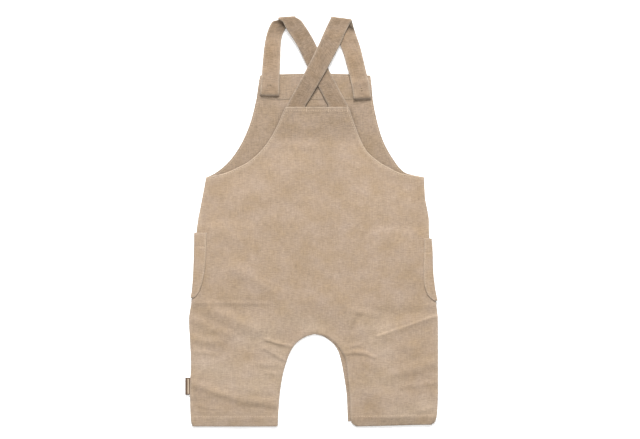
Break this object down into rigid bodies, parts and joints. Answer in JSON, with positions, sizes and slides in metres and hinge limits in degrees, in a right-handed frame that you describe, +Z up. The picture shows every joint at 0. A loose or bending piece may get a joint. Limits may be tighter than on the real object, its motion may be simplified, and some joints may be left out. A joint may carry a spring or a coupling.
{
  "type": "bib overalls",
  "caption": "Baby bib overalls in fine corduroy laid flat back up, with crossed straps turned over to the bib, side pockets and short wide legs.",
  "frame": {"origin": "the middle of the bounding box's underside, on the surface that the garment lies on", "axes": "+Z up, out of the back face; +Y from the hems towards the straps; +X to the right, seen from above"},
  "size_m": [0.3034, 0.4923, 0.009],
  "materials": {
    "cord_cloth": "fine-wale cotton corduroy, soft short nap",
    "strap_cloth": "the same corduroy, doubled and pressed",
    "button": "satin sew-through button",
    "label_tape": "woven tape, dark with a pale middle stripe"
  },
  "bodies": {
    "root": {"front_panel": "cord_cloth", "back_panel": "cord_cloth", "bib_facing": "cord_cloth", "strap_left": "strap_cloth", "strap_right": "strap_cloth", "pocket_left": "cord_cloth", "pocket_right": "cord_cloth", "button_left": "button", "button_right": "button", "label_tab": "label_tape"}
  },
  "joints": []
}
